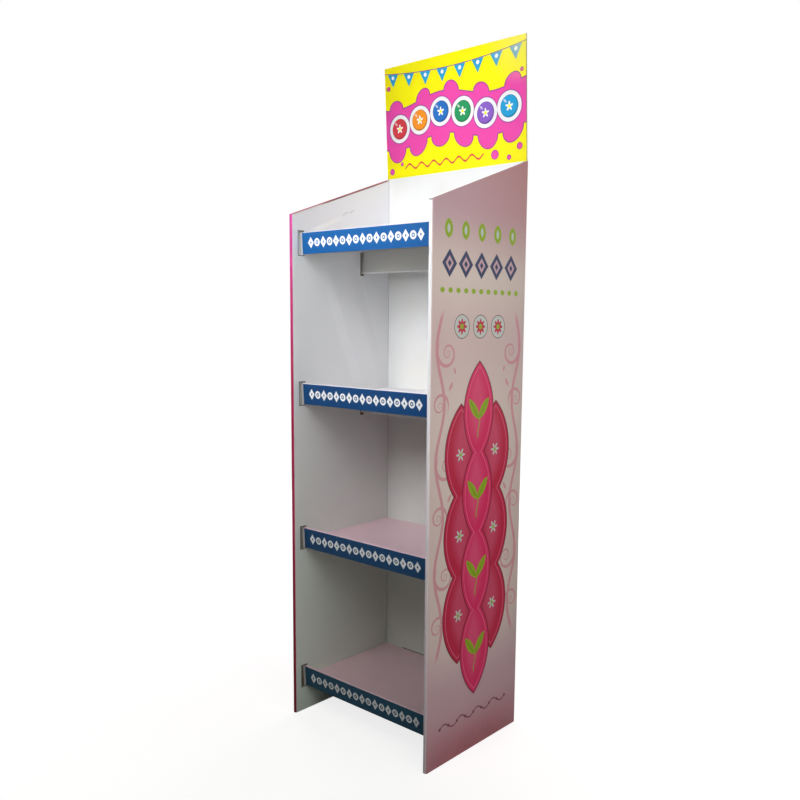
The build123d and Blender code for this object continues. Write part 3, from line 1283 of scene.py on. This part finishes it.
@dataclass(frozen=True)
class LeftWallPrint(WallPrint):
    """Print of the left wall: rosettes and lozenges on crimson to magenta, with a creased inner face."""

    # Colours of the painted light near the top and of the painted highlight along the crease.
    top_light: Colour = ink(245, 246, 252)
    crease_highlight: Colour = ink(253, 253, 255)
    scuff: Colour = ink(150, 150, 156)
    crease_middle: tuple[float, float] = (-0.0605, 1.204)
    crease_turn: float = 22
    crease_half: float = 0.045
    crease_width: float = 9 * MM
    crease_height: float = 3.6 * MM
    scuff_middle: tuple[float, float] = (0.027, 1.2435)
    top_light_from: float = 1.15
    rosette_pitch: float = 0.3

    @cached_property
    def crease(self) -> Motif:
        """Place along and above the crease that runs up to the scuff."""
        return self.face.moved(*self.crease_middle).turned(self.crease_turn)

    @cached_property
    def on_crease(self) -> Signal:
        """Mask of the length of the crease."""
        return (abs(self.crease.u) - self.crease_half).inside(30 * MM) * self.on_inner

    def creased(self) -> Number:
        """Relief of the crease."""
        return self.crease.v.inside(self.crease_width) * self.on_crease * self.crease_height

    def printed(self) -> Signal:
        """Mask of the print, which runs round most of the front fold."""
        return (self.sizes.half_inner + 0.5 * MM - abs(self.recipe.x)).inside(0.9 * MM)

    def marks(self) -> None:
        """Lay painted light near the top of the inner face, a painted highlight along the crease, and the
        scuff.
        """
        recipe = self.recipe
        # Painted light: the inner face is lighter and cooler near its top.
        recipe.cover(self.top_light, (recipe.z - self.top_light_from).inside(-40 * MM) * self.on_inner)
        # Painted highlight along the crease, where it catches the light.
        recipe.cover(self.crease_highlight, (abs(self.crease.v + 1 * MM) - 4 * MM).inside(4 * MM) * self.on_crease)
        scuff = self.face.moved(*self.scuff_middle).turned(18)
        line = scuff.wave(1.1 * MM, 0.026, 1.4 * MM).most(scuff.row(0.024, 1, 0).box(0.009, 0.008))
        recipe.cover(self.scuff, line.inside(1.2 * MM) * self.on_inner * 0.6)

    def design(self) -> None:
        """Compose the design."""
        stops = ((0.0, ink(150, 20, 46)), (0.35, ink(188, 46, 84)), (0.6, ink(176, 22, 76)),
                 (0.76, ink(186, 26, 110)), (0.9, ink(206, 58, 146)), (1.0, ink(216, 84, 158)))
        self.recipe.colour = self.recipe.ramp(self.recipe.z / self.sizes.rear_height, stops)
        self.scrolls()
        big = self.face.moved(0.0, 0.6).column(self.rosette_pitch, 1, 1)
        between = self.face.moved(0.0, 0.45).column(self.rosette_pitch, 1, 2)
        self.recipe.stamp(
            (ink(240, 150, 196), big.ring(0.074, 5 * MM)),
            (ink(246, 204, 224), big.blossom(0.05, 8, 0.16)),
            (ink(168, 34, 92), big.leaf(0.034, 0.016)),
            (ink(250, 220, 92), between.lozenge(18 * MM, 26 * MM)),
            (ink(214, 40, 126), between.disc(7 * MM)),
        )


@dataclass(frozen=True)
class HeaderPrint(Finish):
    """Print on the face of the header card."""

    yellow: Colour = ink(255, 244, 0)
    pink: Colour = ink(238, 76, 172)
    purple: Colour = ink(150, 62, 140)
    white: Colour = ink(246, 246, 246)
    red: Colour = ink(214, 60, 70)
    blue: Colour = ink(34, 110, 190)
    sky: Colour = ink(30, 160, 215)
    green: Colour = ink(34, 150, 90)
    violet: Colour = ink(140, 96, 200)
    orange: Colour = ink(248, 150, 30)
    glare_highlight: Colour = ink(250, 240, 150)
    swell: float = 0.012
    swell_length: float = 0.3
    swell_start: float = 2.2
    band_middle: float = 0.13
    band_half: float = 0.05
    badge_pitch: float = 0.068
    badge_shade: float = 0.62
    half_width: float = 0.217
    sag: float = 0.016
    dots: tuple[tuple[float, float, float], ...] = (
        (-0.2, 0.018, 8), (-0.165, 0.034, 5), (0.128, 0.024, 11), (0.168, 0.014, 6),
        (0.198, 0.036, 8), (-0.205, 0.222, 6), (0.205, 0.2, 5),
    )

    @cached_property
    def face(self) -> Motif:
        """Place on the card: to the right, and up from its lower edge."""
        return Motif(self.recipe.x, self.recipe.z - self.sizes.rear_height)

    def dress(self) -> None:
        """Lay the ground, the band, the badges, the pennants, the dots, a line under them and a painted glare
        at the upper right.
        """
        recipe, face = self.recipe, self.face
        recipe.colour = self.yellow
        self._band()
        self._badges()
        self._bunting()
        dots = reduce(Signal.least, (face.moved(u, v).disc(radius * MM) for u, v, radius in self.dots))
        recipe.stamp((self.purple, dots), (self.pink, dots + 1.6 * MM))
        ribbon = face.moved(-0.03, 0.026)
        line = ribbon.wave(6 * MM, 0.04, 4.4 * MM).most(ribbon.box(0.125, 0.02))
        recipe.cover(self.red, line.inside(0.6 * MM))
        # Painted highlight: a pale glare near the upper right corner of the card.
        recipe.cover(self.glare_highlight, face.moved(0.21, 0.27).disc(0.06).inside(90 * MM) * 0.35)
        roughness = recipe.noise(50.0, 3.0) * 0.1 + 0.42
        recipe.finish(roughness, self.relief(recipe.x), coat=0.08, gloss=0.2)

    def _band(self) -> None:
        """Lay the wavy band with its dark outline on the ground."""
        face = self.face
        swell = (face.u * (TURN / self.swell_length) + self.swell_start).sine() * self.swell
        puffs = Motif(face.u, face.v - swell)
        shape = reduce(Signal.least, (
            abs(face.v - self.band_middle - swell) - self.band_half,
            puffs.moved(0.036, 0.08).row(0.072, 3, 2).disc(0.03),
            puffs.moved(0.0, 0.178).row(0.09, 2, 2).disc(0.024),
        ))
        self.recipe.stamp((self.purple, shape), (self.pink, shape + 2.2 * MM))

    def _badges(self) -> None:
        """Lay a chain of bright discs with white rims on the band."""
        recipe = self.recipe
        badges = []
        for number, fill in enumerate((self.red, self.orange, self.blue, self.green, self.violet, self.sky)):
            u = -0.17 + number * self.badge_pitch
            v = 0.132 + self.swell * math.sin(u * TURN / self.swell_length + self.swell_start)
            badges.append((self.face.moved(u, v), fill))
        rims = reduce(Signal.least, (badge.disc(34 * MM) for badge, _ in badges))
        recipe.stamp((self.purple, rims - 2 * MM), (self.white, rims))
        for badge, fill in badges:
            shaded = tuple(part * self.badge_shade for part in fill)
            lit = badge.moved(-1.2 * MM, 1.6 * MM).disc(22.5 * MM)
            recipe.stamp((shaded, badge.disc(25 * MM)), (fill, lit))
            glint = badge.moved(-12 * MM, 13 * MM).turned(-42).oval(5 * MM, 2.4 * MM)
            recipe.cover(self.white, glint.inside(2 * MM) * 0.6)
            flower = badge.turned(18).blossom(11 * MM, 5)
            recipe.stamp((self.white, flower), (self.yellow, badge.disc(3.6 * MM)))

    def _bunting(self) -> None:
        """Hang a string of pennants over the band."""
        half = self.face.u / self.half_width
        string = self.face.v - 0.243 - half * half * self.sag
        row = Motif(self.face.u, string).moved(0.027, 0.0).row(0.054, 4, 3)
        self.recipe.stamp(
            (self.sky, row.pennant(18 * MM, 32 * MM)),
            (self.white, row.moved(0, -9 * MM).disc(4.6 * MM)),
            (self.purple, abs(string) - 1.1 * MM),
        )


@dataclass(frozen=True)
class TrayPrint(Finish):
    """Print of a tray: a blue band on the fascia, darker on the lower trays as painted shade, and a pale
    tint, pinker on the lower trays, on all the rest of the sheet.
    """

    blues_shaded_lower: tuple[Colour, ...] = (ink(44, 88, 112), ink(34, 76, 118), ink(18, 70, 124), ink(16, 92, 160))
    tints: tuple[Colour, ...] = (
        ink(248, 212, 219), ink(244, 208, 219), ink(238, 232, 238), ink(238, 234, 238),
    )
    white: Colour = ink(252, 254, 255)
    ornament_pitch: float = 42.8 * MM

    STAINS = 0.1

    def dress(self) -> None:
        """Lay the tint, the blue band and its ornament, then the bare ends of the ears."""
        recipe, sizes = self.recipe, self.sizes
        half = sizes.fascia_height / 2
        level = (recipe.z - (sizes.lowest_fascia_top - half)).wrapped(sizes.tray_pitch)
        on_front = (recipe.y - (sizes.fascia_front_y + 8 * MM)).inside()
        band = (level - (half - 1.7 * MM)).inside() * on_front
        # The blue darkens and greys on the lower trays as painted shade; the tint turns pinker lower down.
        places = [top / sizes.rear_height for top in sizes.fascia_tops]
        tint, blue = (
            recipe.ramp(recipe.z / sizes.rear_height, tuple(zip(places, inks)))
            for inks in (self.tints, self.blues_shaded_lower)
        )
        recipe.colour = tint
        recipe.cover(blue, band * (abs(recipe.x) - (sizes.half_tray - 0.6 * MM)).inside())
        recipe.cover(self.white, self._ornament(Motif(recipe.x, level).moved(-8 * MM, 0)) * band)
        recipe.cover(self.white, (sizes.half_tray - abs(recipe.x)).inside(0.2 * MM))
        self.soil_and_shade()
        roughness = on_front * 0.2 + recipe.noise(60.0, 3.0) * 0.1 + 0.27
        recipe.finish(roughness, self.relief(recipe.y + level * on_front), (1 - on_front) * 0.3, gloss=0.2)

    def _ornament(self, face: Motif) -> Signal:
        """Compose a level row of lozenges, rings and dots.

        Args:
            face: Place on the fascia, measured from the middle of the row.

        Returns:
            The mask of the ornament.
        """
        lozenge = face.row(self.ornament_pitch, 4, 4)
        between = face.moved(self.ornament_pitch / 2, 0.0).row(self.ornament_pitch, 4, 3)
        shape = lozenge.lozenge(9.8 * MM, 13 * MM).most(0 - lozenge.lozenge(2.4 * MM, 3.6 * MM))
        shape = shape.least(between.ring(6.9 * MM, 4.6 * MM)).least(between.disc(2.2 * MM))
        return shape.inside(0.5 * MM)


@dataclass
class Piece:
    """A piece of the stand, made of folded sheets. It stands for the solid that its node names."""

    sizes: StandSizes
    node: str

    STEP = 0.05 * MM
    PAST = 1 * MM
    SHARP = math.radians(32)

    def sheets(self) -> list[Sheet]:
        """Lay out the sheets."""
        raise NotImplementedError

    def build(self, flutes: FluteNodes, materials: Sequence[bpy.types.Material]) -> bpy.types.Object:
        """Build the piece out of its sheets and dress it.

        Args:
            flutes: Maker of the waved strips.
            materials: Materials of the good side, the reverse side and the core.

        Returns:
            The piece, with its place in its mesh.
        """
        whole = bmesh.new()
        for sheet in self.sheets():
            sheet.add_to(whole, flutes, materials[FaceKind.CORE.value])
        name = f"{self.node}_board"
        mesh = bpy.data.meshes.new(name)
        whole.to_mesh(mesh)
        whole.free()
        for material in materials:
            mesh.materials.append(material)
        mesh.polygons.foreach_set("use_smooth", [True] * len(mesh.polygons))
        mesh.set_sharp_from_angle(angle=self.SHARP)
        return place_object(name, mesh)


@dataclass
class SideWall(Piece):
    """A side wall: one sheet, folded back on itself at the front edge."""

    side: WallSide

    def sheets(self) -> list[Sheet]:
        """Lay out the sheet with its slots for the ears of the trays and the ends of the beams.

        Returns:
            The one sheet.
        """
        sizes, sign = self.sizes, self.side.value
        middle = sizes.wall_board / 2
        outer, inner = sign * (sizes.half_outer - middle), sign * (sizes.half_inner + middle)
        front, rear = sizes.front_y + middle, sizes.back_face_y - sizes.slip_fit
        corners = (outer, sizes.back_rear_y), (outer, front), (inner, front), (inner, rear)
        path = FoldedPath(corners, sizes.fold_radius(sizes.wall_board))
        # Place along the path of the inner layer's point at y = 0
        origin = path.length - rear
        notch = origin + sizes.front_y + sizes.wall_board

        def top(place: float, y: float) -> float:
            """Return the height of the top edge, which is lower on the inner layer."""
            return sizes.wall_top(y) - (sizes.inner_layer_drop if place > notch else 0)

        slots = [
            Opening(origin + slot.start, origin + slot.end, slot.low, slot.high)
            for slot in sizes.ear_slots + sizes.beam_slots
        ]
        sheet = Sheet(
            path, Section.PLAN, CorrugatedBoard(sizes.wall_board), 0.0, top, float(sign),
            openings=slots, marks=[notch, notch + self.STEP],
        )
        sheet.show_edge_along(top, -1.0, 0.0, notch)
        sheet.show_edge_along(top, -1.0, notch + self.STEP)
        sheet.show_edge_along(0.0, 1.0)
        return [sheet]


@dataclass
class BackPanel(Piece):
    """The back panel: one sheet whose side flanges reach into the hollows of the walls."""

    slit_gap: float = 0.5 * MM

    def sheets(self) -> list[Sheet]:
        """Lay out the sheet with its slits.

        Returns:
            The one sheet.
        """
        sizes = self.sizes
        middle = sizes.wall_board / 2
        flange = sizes.half_inner + sizes.wall_board + sizes.slip_fit + middle
        front, plane = sizes.back_face_y - sizes.flange_depth, sizes.back_face_y + middle
        corners = (-flange, front), (-flange, plane), (flange, plane), (flange, front)
        path = FoldedPath(corners, sizes.fold_radius(sizes.wall_board))
        first, last = sizes.flange_depth, path.length - sizes.flange_depth

        def top(place: float, y: float) -> float:
            """Return the height of the top edge, which slopes on the flanges."""
            slope = sizes.wall_top(min(y, sizes.back_face_y)) - sizes.inner_layer_drop
            return sizes.rear_height if first < place < last else slope

        half_slit = sizes.rear_tab_width / 2 + sizes.slip_fit
        middles = [path.length / 2 + sign * sizes.tab_middle_x for sign in (-1, 1)]
        slits = [
            Opening(place - half_slit, place + half_slit, level - sizes.tray_board, level + self.slit_gap)
            for level in map(sizes.surface_level, sizes.fascia_tops) for place in middles
        ]
        sheet = Sheet(
            path, Section.PLAN, CorrugatedBoard(sizes.wall_board), 0.0, top, -1.0,
            openings=slits, marks=[first, first + self.STEP, last, last - self.STEP],
        )
        for start, end in ((0.0, first), (first, last), (last, path.length)):
            sheet.show_edge_along(top, -1.0, start, end)
        sheet.show_edge_along(0.0, 1.0)
        return [sheet]


@dataclass
class HeaderCard(Piece):
    """The header card: a tongue behind the back panel, a soft bend and the leaning face."""

    def sheets(self) -> list[Sheet]:
        """Lay out the card.

        Returns:
            The one sheet.
        """
        sizes = self.sizes
        y, bend = sizes.back_rear_y + sizes.header_board / 2, sizes.rear_height + sizes.crease_rise
        face = sizes.header_height - sizes.crease_rise
        end = (y - face * math.sin(sizes.header_lean), bend + face * math.cos(sizes.header_lean))
        corners = (y, sizes.rear_height - sizes.tongue_height), (y, bend), end
        path = FoldedPath(corners, sizes.header_bend_radius)
        sheet = Sheet(
            path, Section.PROFILE, CorrugatedBoard(sizes.header_board), -sizes.half_header,
            sizes.half_header, run=FluteRun.ALONG_PATH,
        )
        sheet.show_edge_across(0.0, 1.0)
        sheet.show_edge_across(path.length, -1.0)
        return [sheet]


@dataclass
class ShelfTray(Piece):
    """A shelf tray: a raked fascia, a lip, the surface, two ears and two rear tabs, all one sheet."""

    fascia_top: float

    def sheets(self) -> list[Sheet]:
        """Lay out the folded sheet and its ears, which lie on the plane of the fascia.

        Returns:
            The sheets.
        """
        sizes, top, board = self.sizes, self.fascia_top, CorrugatedBoard(self.sizes.tray_board)
        radius, middle = sizes.fold_radius(sizes.tray_board), board.half
        tangent, cosine = math.tan(sizes.fascia_rake), math.cos(sizes.fascia_rake)
        surface = sizes.surface_level(top) - middle
        front = sizes.fascia_front_y + middle / cosine
        rear = front + (2 * radius + sizes.lip_flat) / cosine
        path = FoldedPath((
            sizes.on_rake(top, sizes.fascia_height, middle),
            (front + middle * tangent, top - middle),
            (rear + middle * tangent, top - middle),
            (rear + (top - surface) * tangent, surface),
            (sizes.tray_rear_y + sizes.wall_board, surface),
        ), radius, steps=6)
        half, tabs = sizes.half_tray, path.length - sizes.wall_board
        inner_tab, outer_tab = (sizes.tab_middle_x + sign * sizes.rear_tab_width / 2 for sign in (-1, 1))
        gaps = ((-half - self.PAST, -outer_tab), (-inner_tab, inner_tab), (outer_tab, half + self.PAST))
        sheet = Sheet(
            path, Section.PROFILE, board, -half, half,
            openings=[Opening(tabs, path.length + self.PAST, low, high) for low, high in gaps],
        )
        sheet.show_edge_along(-half, 1.0, 0.0, tabs)
        sheet.show_edge_along(half, -1.0, 0.0, tabs)
        ear = FoldedPath(sizes.on_rake(top, down, middle) for down in (sizes.ear_height, 0.0))
        widths = (sorted((side.value * half, side.value * sizes.ear_reach)) for side in WallSide)
        return [sheet, *(Sheet(ear, Section.PROFILE, board, low, high) for low, high in widths)]


@dataclass
class ShelfBeam(Piece):
    """A beam: an upright strip under a tray, whose ends run in the side slots."""

    fascia_top: float

    def sheets(self) -> list[Sheet]:
        """Lay out the strip, which is lower at its ends.

        Returns:
            The one sheet.
        """
        sizes = self.sizes
        y, bottom = sizes.beam_front_y + sizes.wall_board / 2, sizes.beam_bottom(self.fascia_top)
        top = bottom + sizes.beam_height
        path = FoldedPath(((-sizes.ear_reach, y), (sizes.ear_reach, y)))
        first = sizes.ear_reach - sizes.half_tray
        last = path.length - first
        ends = ((-self.PAST, first), (last, path.length + self.PAST))
        sheet = Sheet(
            path, Section.PLAN, CorrugatedBoard(sizes.wall_board), bottom, top, -1.0,
            openings=[Opening(*end, top - sizes.beam_end_trim, top + self.PAST) for end in ends],
        )
        sheet.show_edge_along(bottom, 1.0)
        sheet.show_edge_along(top, -1.0, first, last)
        return [sheet]


@dataclass(frozen=True)
class PhotoCamera:
    """Camera at the photograph's viewing angle."""

    place: tuple[float, float, float] = (1.33994, -1.46551, 0.97656)
    yaw: float = math.radians(40.72021)
    pitch: float = math.radians(7.20507)
    roll: float = math.radians(0.66393)
    lens: float = 37.8427
    shift: tuple[float, float] = (-0.037825, 0.03375)

    def make(self) -> None:
        """Build the camera and make it the scene's own."""
        data = bpy.data.cameras.new("photo_camera")
        data.sensor_width, data.lens = 36.0, self.lens
        data.shift_x, data.shift_y = self.shift
        data.clip_start, data.clip_end = 0.05, 50.0
        camera = place_object("photo_camera", data)
        turn = Matrix.Rotation(self.yaw, 4, "Z") @ Matrix.Rotation(math.pi / 2 - self.pitch, 4, "X")
        turn = turn @ Matrix.Rotation(self.roll, 4, "Z")
        camera.matrix_world = Matrix.Translation(self.place) @ turn
        bpy.context.scene.camera = camera


@dataclass(frozen=True)
class SoftLamp:
    """A square area lamp."""

    name: str
    place: tuple[float, float, float]
    target: tuple[float, float, float]
    size: float
    power: float
    colour: Colour = (1.0, 1.0, 1.0)
    spread: float = math.pi

    def make(self) -> None:
        """Hang the lamp and turn it to its target."""
        data = bpy.data.lights.new(self.name, "AREA")
        data.shape, data.size, data.energy = "SQUARE", self.size, self.power
        data.color, data.spread = self.colour, self.spread
        lamp = place_object(self.name, data)
        lamp.visible_camera = False
        turn = (Vector(self.target) - Vector(self.place)).to_track_quat("-Z", "Y").to_matrix().to_4x4()
        lamp.matrix_world = Matrix.Translation(self.place) @ turn


@dataclass(frozen=True)
class Studio:
    """Pale floor, soft lamps and a white background."""

    floor_half: float = 6.0
    fill: float = 0.03
    floor_lift: float = 0.8
    floor_near: float = 0.4
    floor_far: float = 2.2
    floor_colour: Colour = (0.45, 0.44, 0.43)
    lamps: tuple[SoftLamp, ...] = (
        SoftLamp("high_front_lamp", (0.0, -2.2, 2.6), (0.0, 0.0, 1.3), 1.4, 2.5, (0.98, 0.99, 1.0), 1.6),
        SoftLamp("top_lamp", (0.3, -0.9, 2.3), (0.0, 0.0, 1.4), 0.8, 1.5, (0.99, 0.995, 1.0), 1.8),
        SoftLamp("near_front_lamp", (-0.2, -0.95, 1.35), (0.0, 0.1, 0.95), 0.4, 1.1, (0.98, 0.99, 1.0), 1.3),
        SoftLamp("front_lamp", (0.3, -1.2, 1.9), (0.0, 0.1, 1.0), 0.5, 0.85, (0.97, 0.985, 1.0), 1.0),
        SoftLamp("side_lamp", (2.4, -0.9, 1.6), (0.0, 0.0, 0.95), 1.6, 15.4, (0.985, 1.0, 0.955), 3.1),
        SoftLamp("low_side_lamp", (2.4, 0.1, 1.1), (0.2, 0.0, 0.8), 1.8, 7.0, (1.0, 0.99, 0.94), 3.1),
        SoftLamp("header_lamp", (0.3, -1.6, 2.2), (0.05, 0.12, 1.64), 0.3, 0.28, spread=0.38),
        SoftLamp("bay_lamp", (0.6, -1.1, 1.02), (-0.21, 0.12, 1.0), 0.12, 0.022, (0.98, 0.99, 1.0), 0.3),
        SoftLamp("right_lamp", (1.5, 0.1, 0.95), (0.22, 0.0, 0.88), 0.4, 0.24, (1.0, 0.99, 0.97), 1.1),
        SoftLamp("right_rear_lamp", (2.0, 1.2, 1.0), (0.2, 0.0, 0.7), 1.4, 4.0, (1.0, 0.99, 0.96), 3.1),
        SoftLamp("rear_lamp", (-1.0, 2.6, 1.4), (0.0, 0.0, 0.8), 1.6, 24.0),
        SoftLamp("left_lamp", (-2.6, 0.9, 1.1), (-0.2, 0.0, 0.75), 1.6, 26.0),
    )

    def make(self) -> None:
        """Build the studio round the stand."""
        bpy.context.scene.view_settings.view_transform = "Standard"
        self._world()
        self._floor()
        for lamp in self.lamps:
            lamp.make()

    def _world(self) -> None:
        """Light the scene softly, and show plain white to the camera and in gloss."""
        bpy.context.scene.world = bpy.data.worlds.new("studio_world")
        recipe = Recipe(bpy.context.scene.world)
        rays = ("Is Camera Ray", "Is Glossy Ray", "Is Transmission Ray")
        seen = reduce(Signal.most, (recipe.node("ShaderNodeLightPath", output=ray) for ray in rays))
        inputs = {"Color": (1.0, 1.0, 1.0), "Strength": seen * (1 - self.fill) + self.fill}
        recipe.output(recipe.node("ShaderNodeBackground", inputs))

    def _floor(self) -> None:
        """Lay the floor. For the camera it is lifted towards white, fully so far from the stand."""
        recipe = Recipe(bpy.data.materials.new("studio_floor"))
        paper = recipe.node("ShaderNodeBsdfDiffuse", {"Color": self.floor_colour})
        reach = Motif(recipe.x, recipe.y).reach()
        far = ((reach - self.floor_near) / (self.floor_far - self.floor_near)).clamped()
        seen = recipe.node("ShaderNodeLightPath", output="Is Camera Ray")
        lift = (far * (1 - self.floor_lift) + self.floor_lift) * seen
        glow = recipe.node("ShaderNodeEmission", {"Strength": lift})
        recipe.output(recipe.node("ShaderNodeAddShader", {0: paper, 1: glow}))
        mesh = bpy.data.meshes.new("studio_floor")
        half = self.floor_half
        corners = ((-half, -half, 0.0), (half, -half, 0.0), (half, half, 0.0), (-half, half, 0.0))
        mesh.from_pydata(corners, [], [range(4)])
        mesh.materials.append(recipe.owner)
        place_object("studio_floor", mesh)


@dataclass
class DisplayStand:
    """The whole stand: walls, back, header, trays and beams, each with its finish."""

    sizes: StandSizes

    def parts(self) -> list[tuple[Piece, str, tuple[bpy.types.Material, ...]]]:
        """Lay out the pieces with their slots and materials.

        Returns:
            Each piece, its material slot in the record, and the materials of its good side, its
            reverse side and its core.
        """
        sizes = self.sizes
        edge = CutEdge("cut_paper_edge", sizes).make()
        upright = WhiteLiner("white_liner", sizes).make()
        under = WhiteLiner("white_liner_level", sizes, flutes_along_x=True).make()
        beam = BeamLiner("beam_liner", sizes).make()
        header = HeaderPrint("header_card_print", sizes).make()
        tray = TrayPrint("shelf_tray_print", sizes).make()
        parts = []
        for side, kind, trim in (
            (WallSide.LEFT, LeftWallPrint, ink(216, 116, 148)),
            (WallSide.RIGHT, RightWallPrint, ink(186, 140, 140)),
        ):
            name = side.name.lower()
            printed = kind(f"{name}_wall_print", sizes).make()
            reverse = WallReverse(f"{name}_wall_inside", sizes, trim).make()
            soaked = CutEdge(f"{name}_wall_edge", sizes, trim).make()
            wall = SideWall(sizes, f"{name}_side_wall", side)
            parts.append((wall, f"{name}_wall_print", (printed, reverse, soaked)))
        parts.append((BackPanel(sizes, "back_panel"), "white_board", (upright, upright, edge)))
        parts.append((HeaderCard(sizes, "header_card"), "header_print", (header, upright, edge)))
        for level, top in enumerate(sizes.fascia_tops, start=1):
            parts.append((ShelfTray(sizes, f"shelf_tray_{level}", top), "tray_board", (tray, under, edge)))
            parts.append((ShelfBeam(sizes, f"shelf_beam_{level}", top), "white_board", (beam, beam, edge)))
        return parts

    def build(self) -> None:
        """Build and dress every piece, and hand it to the frame."""
        flutes = FluteNodes()
        for part, slot, materials in self.parts():
            piece = part.build(flutes, materials)
            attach(piece, BODY)
            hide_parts(part.node)
            LOG.info("%s: %d faces", piece.name, len(piece.data.polygons))


def main() -> None:
    """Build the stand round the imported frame."""
    logging.basicConfig(level=logging.INFO, format="%(message)s")
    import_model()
    Studio().make()
    PhotoCamera().make()
    DisplayStand(StandSizes()).build()
    bpy.context.view_layer.update()


if __name__ == "__main__":
    main()
